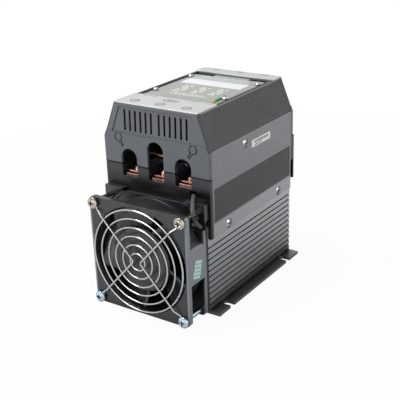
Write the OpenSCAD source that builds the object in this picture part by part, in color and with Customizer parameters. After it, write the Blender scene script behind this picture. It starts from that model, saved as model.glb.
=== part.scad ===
// Three-phase thyristor power regulator: a finned heatsink with mounting feet, ribbed side covers,
// moulded end covers with cable arches, copper terminals, and a guarded axial fan at the front.
// The origin is the centre of the four mounting slots on the mounting plane. +Z is up and the fan is at -Y.

/* [Body] */
// Width across the two side covers
body_w = 99; // [98:0.5:103]
// Length between the front and rear faces of the end covers
body_len = 130; // [128:1:140]
// Width across the top edges of the side covers
top_w = 77.4; // [74:0.2:80]
// Height of the top edges of the side covers
top_z = 161.4; // [158:0.2:168]
// Height where the side covers bend inwards
knee_z = 133; // [131:0.5:136]
// Height of the lower edges of the side covers
cover_z = 64.5; // [61:0.5:67]
// Wall thickness of a side cover
cover_t = 2.5; // [2:0.1:2.6]
// Clearance between a side cover and what it covers
cover_gap = 0.3; // [0.1:0.1:0.5]

/* [Ribbing] */
// Spacing of the fine grooves on the slanted part of a side cover
slant_groove_pitch = 1.1; // [1:0.05:1.6]
// Spacing of the fine grooves on the upright band of a side cover
band_groove_pitch = 1; // [0.9:0.05:1.6]
// Depth of the fine grooves
fine_groove_d = 0.5; // [0.2:0.05:0.6]
// Width of the mouth of a fine groove
fine_groove_w = 0.7; // [0.4:0.05:0.8]
// Height of the upper edge of the grooved band
band_high_z = 103.7; // [98:0.1:110]
// Height of the lower edge of the grooved band
band_low_z = 76.6; // [74:0.1:84]
// Plain margin at both ends of the grooves
groove_margin = 2; // [1:0.5:5]

/* [Heatsink] */
// Length of the heatsink extrusion
sink_len = 131; // [129:1:141]
// Height of the surface that carries the thyristor modules
sink_top_z = 75; // [73:0.5:76]
// Thickness of the plate that the fins hang from
sink_plate_t = 10; // [8:0.5:12]
// Thickness of the side walls
sink_wall_t = 3.5; // [3:0.25:4.5]
// Number of inner fins
fin_count = 13; // [9:2:15]
// Thickness of one inner fin
fin_t = 2; // [1.6:0.1:2.4]
// Height of the fin tips above the mounting plane
fin_tip_z = 2.5; // [1.5:0.5:6]
// Spacing of the grooves in the outer walls
wall_groove_pitch = 4.9; // [4.6:0.1:5]
// Number of grooves in each outer wall
wall_groove_count = 11; // [8:1:11]
// Height of the highest groove
wall_groove_z = 56.9; // [56:0.1:58]
// Width of a groove
wall_groove_w = 1.2; // [0.8:0.1:1.8]
// Depth of a groove
wall_groove_d = 1; // [0.6:0.1:1.4]

/* [Mounting feet] */
// How far a foot reaches out from the heatsink wall
foot_out = 9; // [8:0.2:12]
// Thickness of a foot
foot_t = 2.5; // [2:0.25:4]
// Width of a mounting slot
slot_w = 6.1; // [5:0.1:7]
// Distance between the slots along the body
slot_spacing = 93.2; // [80:0.2:110]
// Distance from the wall to the inner end of a slot
slot_inset = 0.6; // [0.4:0.1:1.5]

/* [End covers] */
// Height of the seam between the end cover and the terminal base
seam_z = 112.2; // [111:0.2:114]
// Wall thickness of an end cover
cap_wall = 2.4; // [2:0.1:3]
// Depth of the rim that closes the ends of the side covers
cap_rim = 3.4; // [3:0.1:4.5]
// Step between the lower and the upper face
cap_step = 0.7; // [0.3:0.1:1]
// How far the upper face leans back at the top
cap_lean = 0.9; // [0:0.1:1.4]
// Height where the upper face begins to lean back
cap_lean_z = 137.4; // [136.6:0.2:138.2]
// Depth of the vent recess
vent_recess = 0.6; // [0.3:0.1:1]
// Width of one vent
vent_w = 1.7; // [1.2:0.1:2.2]
// Spacing of the vents in a group
vent_pitch = 5.08; // [4.6:0.02:5.2]
// Number of vents in each of the two groups
vent_count = 6; // [4:1:6]
// Distance from the middle to the first vent of a group
vent_first = 3.7; // [3:0.1:4.2]

/* [Terminals] */
// Distance between neighbouring phases
phase_pitch = 25.5; // [25:0.1:26]
// Width of a cable arch
arch_w = 15; // [14:0.2:16]
// Height of the crown of the outer arches
arch_z = 125.4; // [123:0.2:127]
// Height of the crown of the middle arch
middle_arch_z = 134.7; // [130:0.2:135]
// Gap between the upper fan screws and the terminal base above them
base_clearance = 0.35; // [0.3:0.05:1]
// Height of the underside of the copper bars
bar_z = 102.8; // [101:0.2:104]
// Width of a copper bar
bar_w = 13; // [11:0.5:13.5]
// Thickness of a copper bar
bar_t = 1.6; // [1.4:0.1:2.4]
// Distance from the end face to the terminal bolts
bolt_inset = 11; // [10:0.5:13]
// Depth of a terminal base
base_depth = 18; // [16.5:0.5:18.5]

/* [Fan] */
// Distance between neighbouring fan screws
fan_pitch = 82.5; // [82:0.25:84]
// Distance from a fan screw to the two nearest sides of the frame
fan_screw_edge = 4.75; // [4.5:0.25:5.25]
// Depth of the fan frame
fan_depth = 25; // [25:0.5:32]
// Gap between the mounting plane and the fan frame
fan_lift = 0.4; // [0.2:0.1:0.8]
// Thickness of the plate behind the fan
fan_plate_t = 2.3; // [2:0.1:4]
// How far the plate behind the fan overlaps the terminal base
fan_plate_over = 1.2; // [0.8:0.2:1.8]
// Thickness of the front flange of the fan frame
front_flange_t = 4.2; // [3:0.1:5]
// Thickness of the rear flange of the fan frame
rear_flange_t = 3.1; // [2.8:0.1:4]
// How far the fan barrel stays inside the sides of the frame
barrel_inset = 0.5; // [0.4:0.1:1]
// Wall thickness of the fan barrel
barrel_wall = 2.1; // [1.7:0.1:2.4]
// Clearance between the blade tips and the air passage
tip_gap = 1.2; // [0.8:0.1:2]
// Radius of the rotor hub
hub_r = 27; // [26:0.5:29]
// Number of blades
blade_count = 5; // [3:1:7]
// Thickness of a blade
blade_t = 1.6; // [1.2:0.1:2]
// Radius of the fan shaft
shaft_r = 1.5; // [1.2:0.1:2]
// Running clearance of the shaft in its bearings
shaft_gap = 0.02; // [0.01:0.01:0.05]

/* [Finger guard] */
// Number of wire rings
ring_count = 6; // [4:1:6]
// Radius of the smallest ring
ring_r = 7.1; // [6:0.1:8]
// Radial spacing of the rings
ring_pitch = 7.12; // [6.4:0.02:7.2]
// Diameter of the guard wire
wire_d = 1.4; // [1.2:0.1:2]
// Distance of the spoke tips from the fan axis
spoke_tip = 3.4; // [2.5:0.1:5]

/* [Hidden] */
$fn = 64;

// A small overlap that keeps cuts from ending on a surface
cut = 1;
sink_w = body_w - 2 * (cover_t + cover_gap);
foot_w = sink_w + 2 * foot_out;
// Slope of the slanted part of the side covers
slant_tan = (body_w - top_w) / 2 / (top_z - knee_z);
slant_angle = atan(slant_tan);
slant_len = sqrt(pow((body_w - top_w) / 2, 2) + pow(top_z - knee_z, 2));
// Fan sizes that follow from its screw spacing
fan_w = fan_pitch + 2 * fan_screw_edge;
fan_z = fan_w / 2 + fan_lift;
fan_screw_z = fan_z + fan_pitch / 2;
barrel_r = fan_w / 2 - barrel_inset;
passage_r = barrel_r - barrel_wall;
blade_r = passage_r - tip_gap;
fan_screw_r = 2;
base_z = fan_screw_z + fan_screw_r + base_clearance;
fan_plate_z = base_z + fan_plate_over;

front_y = -body_len / 2;
rear_y = body_len / 2;
cover_front_y = front_y + cap_rim;
cover_rear_y = rear_y - cap_rim;

// Wall round the lower fan screws in the heatsink
screw_port_r = 3.8;

// Side cover screws
side_screw_r = 2;
side_screw_gap = 0.2;
side_head_gap = 0.4;
side_head_r = 3.4;
side_head_h = 1.5;
side_screw_len = 8;
side_sink_d = 1.1;
lower_screw_y = 39.5;
lower_screw_z = 69;
upper_screw_y = -13.5;
upper_screw_z = 126.7;

// End cover details
cap_skirt_t = 1.6;
cap_skirt_depth = 15;
cap_skirt_gap = 0.2;
cap_thick = 5.2;
cap_thick_z = 136;
lean_angle = atan(cap_lean / (top_z - cap_lean_z));
vent_low_z = 140;
vent_high_z = 156.4;
recess_low_z = 138.4;
recess_high_z = 158.8;
recess_border = 5.2;
knock_x = 35.3;
knock_z = 132.8;
knock_r = 3.6;
knock_h = 2.6;
knock_line = 0.7;
knock_depth = 0.8;

// Top of the body
top_plate_t = 0.8;
plate_front_len = 27;
plate_rear_len = cap_skirt_depth;
panel_drop = 1.1;
panel_t = 1.5;
panel_top_z = top_z - panel_drop;
plate_y = cap_step + cap_lean;
panel_front_y = front_y + plate_front_len + plate_y;
panel_under = 2;
panel_rear_y = rear_y - plate_rear_len;
panel_end_gap = 0.7;
panel_end_y = panel_rear_y - panel_end_gap;
panel_edge_gap = 0.7;
panel_half = body_w / 2 - cover_t / cos(slant_angle)
    - (panel_top_z - knee_z) * slant_tan - panel_edge_gap;
window_in = 17.3;
window_len = 4.5;
slot_line_x = [-1.8, 9.5];
slot_line_w = 0.9;
slot_line_in = 2.4;
tick_x = [-17.2, 35.4];
tick_w = 1.2;
tick_len = 2;
panel_screw_x = panel_half - 2.5;
panel_screw_y = [-16.2, 34];
panel_screw_r = 1.25;
panel_head_r = 2.2;
panel_head_h = 1.6;
panel_washer_r = 2.4;
panel_washer_t = 0.6;
led_x = panel_half - 6;
led_r = 1.5;
led_y = [-27, -22.4, -18.2, -11.5];

// Board and brackets
bracket_t = 1.2;
bracket_gap = 0.3;
bracket_y = [-24, 40];
bracket_foot_x = 38.4;
board_t = 1.6;
standoff_h = 8;
standoff_r = 2.5;
standoff_x = led_x - 2.9;
standoff_y = [-31.5, 38];
board_margin = 4;
board_w = 2 * (standoff_x + board_margin);
board_y = [standoff_y[0] - board_margin, standoff_y[1] + board_margin];
coil_w = 28;
coil_len = 24;
coil_h = 14;
core_w = 18;
core_len = 32;
core_h = 11;

// Thyristor modules
module_w = 22;
module_len = 92;
module_base_t = 3;
module_body_w = 21;
module_body_len = 72;
module_pad_h = 4;
module_top_z = bar_z - module_pad_h;
pad_w = 11;
pad_y = 30;
module_screw_r = 2;
module_head_r = 4;
module_head_h = 2.4;
module_bite = 3;
module_hole_r = 2.2;
module_hole_in = 5;
module_screw_depth = 4;

// Terminal hardware
bar_end_inset = 2.5;
bolt_r = 2;
bolt_gap = 0.1;
bolt_end_gap = 0.2;
bolt_head_r = 3.4;
bolt_head_h = 2.2;
clamp_t = 1.3;
clamp_neck_r = 3.6;
clamp_neck_t = 0.7;
washer_r = 3.9;
washer_t = 0.9;
terminal_stack = clamp_neck_t + clamp_t + washer_t;
bolt_y = rear_y - bolt_inset;
base_leg_w = 6;
base_leg_len = 9;
base_leg_gap = 0.6;
apron_t = 1.6;
seam_gap = 0.4;
apron_z = 72.5;
sink_rear_y = sink_len / 2;
strip_z = 121.2;
strip_t = 0.8;
strip_w = 2.4;
strip_gap = 0.2;
strip_inset = 7.5;

// Fan
fan_front_flange_r = 4;
barrel_step = 0.9;
barrel_step_at = 4.7;
lip_grow = 0.3;
lip_t = 0.8;
fan_rear_y = -sink_len / 2 - fan_plate_t;
fan_screw_past = 6;
fan_front_y = fan_rear_y - fan_depth;
fan_hole_r = 2.25;
fan_head_r = 4.6;
fan_head_h = 2.6;
fan_screw_len = fan_screw_past + fan_plate_t + fan_depth + wire_d;
mouth_r = passage_r + 1.2;
mouth_h = 3;
side_flat_h = 28;
rear_corner_z = 73.3;
lug_edge = 6.5;
lug_x = fan_pitch / 2 + lug_edge;
lug_low_z = fan_screw_z - lug_edge;
lug_top_z = fan_screw_z + lug_edge;
lug_t = 3.1;
lug_y = fan_rear_y - lug_t;
lug_cut_r = barrel_r + 10.5;
rib_r = [barrel_r + 7.3, barrel_r + 9.3];
rib_t = 1.6;
strut_w = 4.4;
cup_r = 21.5;
cup_t = 2.4;
bearing_r = 4;
bearing_w = 4;
tube_wall = 1.6;
tube_h = 17;
rear_bearing_at = 2.6;
front_bearing_at = tube_h - bearing_w;
hub_low = 5;
hub_front_gap = 2.4;
hub_wall = 1.8;
rotor_ring_t = 2.4;
rotor_ring_len = 12;
stator_h = 13;
stator_tooth_h = 7;
stator_tooth_lift = 3;
stator_gap = 0.6;
blade_low = 5.6;
blade_high = fan_depth - 3.8;
blade_chord = 36;
blade_gap_angle = 16;
blade_edge_angle = 132;
blade_sweep_angle = 7;
camber_r = 62;

// Guard
ring_lift = 1.7;
spoke_lift = ring_lift + wire_d - 0.2;
loop_r = fan_screw_r + wire_d / 2 + 0.2;
joint_grow = 0.08;
spoke_blunt = 0.9;
spoke_past = 1;
hook_len = 4.4;

// Fan lead
lead_r = 1.6;
lead_sides = 8;
lead_steps = 3;
// The lead is drawn for an upper fan screw at lead_home and moves with that screw
lead_home = [41.25, 0, 87.65];
lead_shift = [fan_pitch / 2 - lead_home[0], 0, fan_screw_z - lead_home[2]];
lead_window_x = 34 + lead_shift[0];
lead_window_w = 5.6;
lead_window_len = 8;
lead_window_z = 101.6 + lead_shift[2];
lead_route = [[9.5, -55, 85], [14, -55, 86.5], [22, -56.4, 86.4], [29.4, -58.4, 86], [33.6, -60, 88.4],
    [34.4, -62.4, 94.6], [36, -67, 99], [38.2, -71, 99.2], [40.6, -75.5, 97.5], [43, -79.5, 95], [45, -82.3, 92],
    [46.2, -83, 88.5], [46.6, -81, 84.5], [46.4, -77.5, 81], [45.6, -74, 78.2], [43.6, -71.2, 76.6],
    [40, -69.8, 76.2], [35.9, -69.7, 75.8]];
tie_at = 11;
tie_w = 2.4;
tie_t = 0.8;
tie_nub = 1.4;

// Thermal switch
switch_y = -55;
switch_r = 7.5;
switch_h = 8;
switch_foot = [23, 8, 0.8];
switch_tab = [0.8, 4.8, 5];
switch_plug = [4, 3, 4];

// Colours
aluminium_colour = [0.72, 0.72, 0.73];
cover_colour = [0.4, 0.4, 0.41];
cap_colour = [0.36, 0.38, 0.41];
black_colour = [0.09, 0.09, 0.1];
silver_colour = [0.85, 0.85, 0.86];
copper_colour = [0.72, 0.42, 0.3];
steel_colour = [0.75, 0.75, 0.77];

// Half width of the covered outline at a height, set in from the outer surface
function inset_knee(inset) = knee_z - inset * tan(slant_angle / 2);
function inset_x(inset, z) = body_w / 2 - inset - max(0, z - inset_knee(inset)) * slant_tan;
function outline(inset, low, high) = [[-inset_x(inset, low), low], [inset_x(inset, low), low],
    [inset_x(inset, low), inset_knee(inset)], [inset_x(inset, high), high],
    [-inset_x(inset, high), high], [-inset_x(inset, low), inset_knee(inset)]];

// An outline drawn in X and Z, made solid from y0 to y1
module slab(y0, y1) {
    translate([0, y1, 0]) rotate([90, 0, 0]) linear_extrude(y1 - y0) children();
}

// Something drawn along +Z, laid so that it points along -Y from the place given
module facing_front(x, y, z) {
    translate([x, y, z]) rotate([90, 0, 0]) children();
}

// A rectangle with round corners, centred on the origin
module round_rect(w, h, r) {
    square([w - 2 * r, h], center = true);
    square([w, h - 2 * r], center = true);
    for (sx = [-1, 1], sy = [-1, 1]) translate([sx * (w / 2 - r), sy * (h / 2 - r)]) circle(r);
}

// Heatsink: one extrusion with a module plate, side walls, fins, feet and two screw ports
module heatsink_profile() {
    half = sink_w / 2;
    fin_step = (sink_w - 2 * sink_wall_t) / (fin_count + 1);
    difference() {
        union() {
            translate([-half, sink_top_z - sink_plate_t]) square([sink_w, sink_plate_t]);
            for (s = [-1, 1]) {
                translate([s > 0 ? half - sink_wall_t : -half, 0]) square([sink_wall_t, sink_top_z]);
                translate([s > 0 ? half - sink_wall_t : -foot_w / 2, 0])
                    square([(foot_w - sink_w) / 2 + sink_wall_t, foot_t]);
                translate([s * fan_pitch / 2, fan_z - fan_pitch / 2]) circle(screw_port_r);
            }
            for (i = [1:fin_count]) translate([-half + sink_wall_t + i * fin_step - fin_t / 2, fin_tip_z])
                square([fin_t, sink_top_z - sink_plate_t - fin_tip_z + cut]);
        }
        for (s = [-1, 1]) {
            translate([s * fan_pitch / 2, fan_z - fan_pitch / 2]) circle(fan_screw_r);
            for (i = [0:wall_groove_count - 1])
                translate([s * half, wall_groove_z - i * wall_groove_pitch])
                    square([2 * wall_groove_d, wall_groove_w], center = true);
        }
    }
}

module heatsink() {
    slot_x = sink_w / 2 + slot_inset + slot_w / 2;
    color(aluminium_colour) difference() {
        slab(-sink_len / 2, sink_len / 2) heatsink_profile();
        for (sx = [-1, 1], sy = [-1, 1]) translate([sx * slot_x, sy * slot_spacing / 2, -cut]) {
            cylinder(r = slot_w / 2, h = foot_t + 2 * cut);
            translate([sx > 0 ? 0 : -slot_w - cut, -slot_w / 2, 0]) cube([slot_w + cut, slot_w, foot_t + 2 * cut]);
        }
        for (sx = [-1, 1], y = [-lower_screw_y, lower_screw_y])
            translate([sx * (sink_w / 2 + cut), y, lower_screw_z]) rotate([0, -sx * 90, 0])
                cylinder(r = side_screw_r, h = side_screw_len + cut);
    }
}

// Side covers: bent sheets with fine lengthwise grooves in two zones
module fine_groove() {
    polygon([[-fine_groove_w / 2, 0], [-fine_groove_w / 2, -cut / 2], [fine_groove_w / 2, -cut / 2],
        [fine_groove_w / 2, 0], [0, fine_groove_d]]);
}

module groove_comb() {
    slant_count = floor((slant_len - slant_groove_pitch) / slant_groove_pitch);
    band_count = floor((band_high_z - band_low_z) / band_groove_pitch);
    translate([body_w / 2, knee_z]) rotate(90 + slant_angle)
        for (i = [1:slant_count]) translate([i * slant_groove_pitch, 0]) fine_groove();
    translate([body_w / 2, band_low_z]) rotate(90)
        for (i = [0:band_count - 1]) translate([(i + 0.5) * band_groove_pitch, 0]) fine_groove();
}

module side_screw_place(sx) {
    for (y = [-lower_screw_y, lower_screw_y])
        translate([sx * body_w / 2, y, lower_screw_z]) rotate([0, sx * 90, 0]) children();
    translate([sx * body_w / 2, upper_screw_y, upper_screw_z]) rotate([0, sx * 90, 0]) children();
}

module side_cover_right() {
    color(cover_colour) difference() {
        slab(cover_front_y, cover_rear_y) polygon([[body_w / 2, cover_z], [body_w / 2, knee_z],
            [top_w / 2, top_z], [inset_x(cover_t, top_z), top_z],
            [body_w / 2 - cover_t, inset_knee(cover_t)], [body_w / 2 - cover_t, cover_z]]);
        slab(cover_front_y + groove_margin, cover_rear_y - groove_margin) groove_comb();
        side_screw_place(1) {
            translate([0, 0, -side_sink_d]) cylinder(r = side_head_r + side_head_gap, h = side_sink_d + cut);
        }
        side_screw_place(1) {
            translate([0, 0, -cover_t - cut]) cylinder(r = side_screw_r + side_screw_gap, h = cover_t + 2 * cut);
        }
    }
}

module side_cover_left() {
    mirror([1, 0, 0]) side_cover_right();
}

// Pan-head screw pointing down from its seat at the origin, with a cross recess
module pan_screw(head_r, head_h, shank_r, shank_len) {
    difference() {
        union() {
            cylinder(r = head_r, h = head_h * 0.45);
            translate([0, 0, head_h * 0.45]) cylinder(r1 = head_r, r2 = head_r * 0.62, h = head_h * 0.55);
            translate([0, 0, -shank_len]) cylinder(r = shank_r, h = shank_len + cut / 2);
        }
        for (a = [0, 90]) rotate(a) translate([0, 0, head_h])
            cube([head_r * 1.05, head_r * 0.26, head_h], center = true);
    }
}

module side_cover_screws() {
    color(steel_colour) for (sx = [-1, 1]) side_screw_place(sx)
        translate([0, 0, -side_sink_d]) pan_screw(side_head_r, side_head_h, side_screw_r, side_screw_len);
}

// End covers: a moulded face with vents and arches, a rim over the side covers and a skirt inside them
module leaning() {
    translate([0, front_y, cap_lean_z]) rotate([-lean_angle, 0, 0]) translate([0, -front_y, -cap_lean_z])
        children();
}

module arch_shape(i, low) {
    crown = i == 0 ? middle_arch_z : arch_z;
    translate([i * phase_pitch, crown - arch_w / 2]) circle(arch_w / 2);
    translate([i * phase_pitch - arch_w / 2, low]) square([arch_w, crown - arch_w / 2 - low]);
}

// Outline of a knock-out: a round-headed tab with a slanting stub
module knock_out_shape(grow) {
    translate([0, knock_h / 2]) circle(knock_r + grow);
    translate([-knock_r - grow, -knock_h / 2 - grow]) square([2 * (knock_r + grow), knock_h + grow]);
    rotate(-52) translate([0, -1.2 - grow]) square([knock_r + 3.4 + grow, 2.4 + 2 * grow]);
}

module knock_out_lines() {
    for (sx = [-1, 1]) translate([sx * knock_x, knock_z]) mirror([sx > 0 ? 1 : 0, 0]) difference() {
        knock_out_shape(0);
        knock_out_shape(-knock_line);
    }
}

module recess_shape() {
    low_x = inset_x(recess_border, recess_low_z);
    high_x = inset_x(recess_border, recess_high_z);
    polygon([[-low_x, recess_low_z], [low_x, recess_low_z], [high_x, recess_high_z], [-high_x, recess_high_z]]);
}

module end_cover() {
    field_y = front_y + cap_wall;
    skirt_in = cover_t + cap_skirt_gap;
    difference() {
        union() {
            slab(front_y, field_y) polygon(outline(0, seam_z, top_z));
            slab(field_y - cut / 2, cover_front_y) difference() {
                polygon(outline(0, seam_z, top_z));
                polygon(outline(cover_t, seam_z - cut, top_z - cover_t));
            }
            slab(field_y - cut / 2, front_y + cap_skirt_depth) difference() {
                polygon(outline(skirt_in, seam_z, top_z - cap_skirt_gap));
                polygon(outline(skirt_in + cap_skirt_t, seam_z - cut, top_z - cap_skirt_gap - cap_skirt_t));
            }
            slab(field_y - cut / 2, front_y + cap_thick) intersection() {
                polygon(outline(skirt_in, seam_z, top_z - cap_skirt_gap));
                translate([-body_w / 2, cap_thick_z]) square([body_w, top_z - cap_thick_z]);
            }
        }
        leaning() translate([-body_w / 2 - cut, front_y - 2 * cut, cap_lean_z])
            cube([body_w + 2 * cut, 2 * cut + cap_step, top_z - cap_lean_z + 3 * cut]);
        leaning() slab(front_y - cut, front_y + cap_step + vent_recess) recess_shape();
        leaning() slab(front_y - cut, front_y + 2 * cap_thick) for (s = [-1, 1], i = [0:vent_count - 1])
            translate([s * (vent_first + i * vent_pitch) - vent_w / 2, vent_low_z])
                square([vent_w, vent_high_z - vent_low_z]);
        slab(front_y - cut, front_y + 2 * cap_thick) for (i = [-1:1]) arch_shape(i, seam_z - cut);
        slab(front_y - cut, front_y + knock_depth) knock_out_lines();
    }
}

module front_cover() {
    color(cap_colour) end_cover();
}

module rear_cover() {
    color(cap_colour) mirror([0, 1, 0]) end_cover();
}

// Terminal bases: moulded blocks with one open channel for each phase, standing on the heatsink
module base_block() {
    inner_x = body_w / 2 - cover_t - cap_skirt_gap;
    top = seam_z - seam_gap;
    leg_y = max(cover_front_y, fan_screw_past - sink_len / 2) + base_leg_gap;
    difference() {
        union() {
            translate([-body_w / 2, front_y, base_z]) cube([body_w, cap_rim, top - base_z]);
            translate([-inner_x, front_y, base_z]) cube([2 * inner_x, base_depth, top - base_z]);
            for (sx = [-1, 1]) translate([sx > 0 ? sink_w / 2 - base_leg_w : -sink_w / 2,
                leg_y, sink_top_z]) cube([base_leg_w, base_leg_len, base_z - sink_top_z + cut]);
        }
        for (i = [-1:1]) translate([i * phase_pitch - arch_w / 2, front_y - cut, bar_z])
            cube([arch_w, base_depth + 2 * cut, top]);
    }
}

module front_terminal_base() {
    color(black_colour) {
        for (sx = [-1, 1]) translate([sx > 0 ? body_w / 2 - cover_t : -body_w / 2, front_y, cover_z])
            cube([cover_t, cap_rim, base_z - cover_z + cut]);
        difference() {
            base_block();
            translate([lead_window_x - lead_window_w / 2, front_y - cut, base_z - cut])
                cube([lead_window_w, lead_window_len + cut, lead_window_z - base_z + cut]);
        }
    }
}

module rear_terminal_base() {
    color(black_colour) {
        mirror([0, 1, 0]) base_block();
        difference() {
            translate([-body_w / 2, sink_rear_y + 0.1, apron_z])
                cube([body_w, apron_t, seam_z - seam_gap - apron_z]);
            for (i = [-1:1]) translate([i * phase_pitch - arch_w / 2, rear_y, bar_z])
                cube([arch_w, 3 * apron_t, seam_z]);
        }
        translate([-body_w / 2, rear_y - cut, base_z])
            cube([body_w, sink_rear_y - rear_y + cut + 0.2, bar_z - base_z]);
    }
}

// Top plates and control panel
module front_top_plate() {
    color(silver_colour) difference() {
        translate([-top_w / 2, front_y + plate_y, top_z]) cube([top_w, plate_front_len, top_plate_t]);
        for (s = [-1, 1]) translate([s > 0 ? window_in : -panel_half, panel_front_y - 2.6, top_z + 0.4])
            cube([panel_half - window_in, 2, top_plate_t]);
        for (x = tick_x) translate([x, panel_front_y - tick_len, top_z - cut])
            cube([tick_w, tick_len + cut, top_plate_t + 2 * cut]);
    }
}

module rear_top_plate() {
    color(silver_colour) translate([-top_w / 2, panel_rear_y, top_z])
        cube([top_w, rear_y - plate_y - panel_rear_y, top_plate_t]);
}

module panel_screw_places() {
    for (sx = [-1, 1], y = panel_screw_y) translate([sx * panel_screw_x, y, 0]) children();
}

module control_panel() {
    color([0.75, 0.76, 0.74]) difference() {
        translate([-panel_half, panel_front_y - panel_under, panel_top_z - panel_t])
            cube([2 * panel_half, panel_end_y - panel_front_y + panel_under, panel_t]);
        for (s = [-1, 1]) translate([s > 0 ? window_in : -panel_half - cut, panel_end_y - window_len,
            panel_top_z - panel_t - cut]) cube([panel_half - window_in + cut, window_len + cut, panel_t + 2 * cut]);
        translate([slot_line_x[0], panel_front_y + slot_line_in, panel_top_z - panel_t - cut])
            cube([slot_line_x[1] - slot_line_x[0], slot_line_w, panel_t + 2 * cut]);
        for (y = led_y) translate([led_x, y, panel_top_z - panel_t - cut])
            cylinder(r = led_r + 0.1, h = panel_t + 2 * cut);
        panel_screw_places() translate([0, 0, panel_top_z - panel_t - cut])
            cylinder(r = panel_screw_r + 0.2, h = panel_t + 2 * cut);
    }
}

module panel_washers() {
    color(black_colour) panel_screw_places() difference() {
        translate([0, 0, panel_top_z]) cylinder(r = panel_washer_r, h = panel_washer_t);
        translate([0, 0, panel_top_z - cut]) cylinder(r = panel_screw_r + 0.1, h = panel_washer_t + 2 * cut);
    }
}

module panel_screws() {
    color(steel_colour) panel_screw_places() translate([0, 0, panel_top_z + panel_washer_t])
        pan_screw(panel_head_r, panel_head_h, panel_screw_r, panel_t + panel_washer_t + 3);
}

// Lamp with a domed top and two legs that reach the board
module led(i, shade) {
    board_top = panel_top_z - panel_t - standoff_h;
    color(shade) translate([led_x, led_y[i], 0]) {
        translate([0, 0, panel_top_z - panel_t - 1]) cylinder(r = led_r, h = panel_t + 1.6);
        translate([0, 0, panel_top_z + 0.6]) sphere(led_r);
        translate([0, 0, panel_top_z - panel_t - 1.6]) cylinder(r = led_r + 0.4, h = 0.8);
        for (s = [-1, 1]) translate([0, s * 0.9, board_top]) cylinder(r = 0.3, h = standoff_h - 1.2);
    }
}

// Board, spacers and brackets inside the covers
module control_board() {
    board_top = panel_top_z - panel_t - standoff_h;
    color([0.1, 0.35, 0.2]) difference() {
        translate([-board_w / 2, board_y[0], board_top - board_t])
            cube([board_w, board_y[1] - board_y[0], board_t]);
        for (sx = [-1, 1], y = standoff_y) translate([sx * standoff_x, y, board_top - board_t - cut])
            cylinder(r = 1.6, h = board_t + 2 * cut);
    }
}

module board_transformer() {
    board_low = panel_top_z - panel_t - standoff_h - board_t;
    color([0.5, 0.45, 0.3]) {
        translate([-coil_w / 2, -coil_len / 2, board_low - coil_h]) cube([coil_w, coil_len, coil_h]);
        translate([-core_w / 2, -core_len / 2, board_low - (coil_h + core_h) / 2]) cube([core_w, core_len, core_h]);
    }
}

module board_standoffs() {
    board_top = panel_top_z - panel_t - standoff_h;
    color(steel_colour) for (sx = [-1, 1], y = standoff_y) translate([sx * standoff_x, y, board_top]) {
        cylinder(r = standoff_r, h = standoff_h, $fn = 6);
        translate([0, 0, -board_t - 1]) cylinder(r = 1.5, h = board_t + 1 + cut);
    }
}

module bracket_right() {
    out = cover_t + cover_gap + bracket_gap;
    in = out + bracket_t;
    high = panel_top_z - panel_t;
    low = high - bracket_t;
    color(steel_colour) difference() {
        slab(bracket_y[0], bracket_y[1]) polygon([[body_w / 2 - out, sink_top_z],
            [body_w / 2 - out, inset_knee(out)], [inset_x(out, high), high], [panel_screw_x - 2.6, high],
            [panel_screw_x - 2.6, low], [inset_x(in, low), low], [body_w / 2 - in, inset_knee(in)],
            [body_w / 2 - in, sink_top_z + bracket_t], [bracket_foot_x, sink_top_z + bracket_t],
            [bracket_foot_x, sink_top_z]]);
        translate([body_w / 2 - 3 * cut - in, upper_screw_y, upper_screw_z]) rotate([0, 90, 0])
            cylinder(r = side_screw_r, h = in + 4 * cut);
        panel_screw_places() translate([0, 0, low - cut]) cylinder(r = panel_screw_r, h = bracket_t + 2 * cut);
        for (y = led_y) translate([led_x, y, low - cut]) cylinder(r = led_r + 0.7, h = bracket_t + 2 * cut);
    }
}

module bracket_left() {
    mirror([1, 0, 0]) bracket_right();
}

// Thyristor module: base plate, moulded body and two terminal pads
module thyristor_module(i) {
    color([0.85, 0.84, 0.8]) translate([i * phase_pitch, 0, 0]) difference() {
        union() {
            translate([-module_w / 2, -module_len / 2, sink_top_z]) cube([module_w, module_len, module_base_t]);
            translate([-module_body_w / 2, -module_body_len / 2, sink_top_z + module_base_t])
                cube([module_body_w, module_body_len, module_top_z - sink_top_z - module_base_t]);
            for (y = [-pad_y, pad_y]) translate([-pad_w / 2, y - pad_w / 2, module_top_z - cut])
                cube([pad_w, pad_w, bar_z - module_top_z + cut]);
        }
        for (y = [-pad_y, pad_y]) translate([0, y, module_top_z - module_screw_depth])
            cylinder(r = module_screw_r, h = bar_z - module_top_z + module_screw_depth + cut);
        for (s = [-1, 1]) translate([0, s * (module_len / 2 - module_hole_in), sink_top_z - cut])
            cylinder(r = module_hole_r, h = module_base_t + 2 * cut);
    }
}

// Copper bars, drawn at the front and mirrored to the rear
module terminal_bar(i) {
    bar_front = front_y + bar_end_inset;
    color(copper_colour) difference() {
        translate([i * phase_pitch - bar_w / 2, bar_front, bar_z])
            cube([bar_w, -pad_y + pad_w / 2 - bar_front, bar_t]);
        translate([i * phase_pitch, -bolt_y, bar_z - cut]) cylinder(r = bolt_r, h = bar_t + 2 * cut);
        translate([i * phase_pitch, -pad_y, bar_z - cut]) cylinder(r = module_screw_r + 0.2, h = bar_t + 2 * cut);
    }
}

module terminal_washers() {
    color(copper_colour) for (i = [-1:1]) translate([i * phase_pitch, -bolt_y, bar_z + bar_t]) difference() {
        union() {
            cylinder(r = clamp_neck_r, h = clamp_neck_t + cut / 2);
            translate([-bar_w / 2, -bar_w / 2, clamp_neck_t]) cube([bar_w, bar_w, clamp_t]);
            translate([0, 0, clamp_neck_t + clamp_t - cut / 2]) cylinder(r = washer_r, h = washer_t + cut / 2);
        }
        translate([0, 0, -cut]) cylinder(r = bolt_r + bolt_gap, h = terminal_stack + 2 * cut);
    }
}

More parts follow.
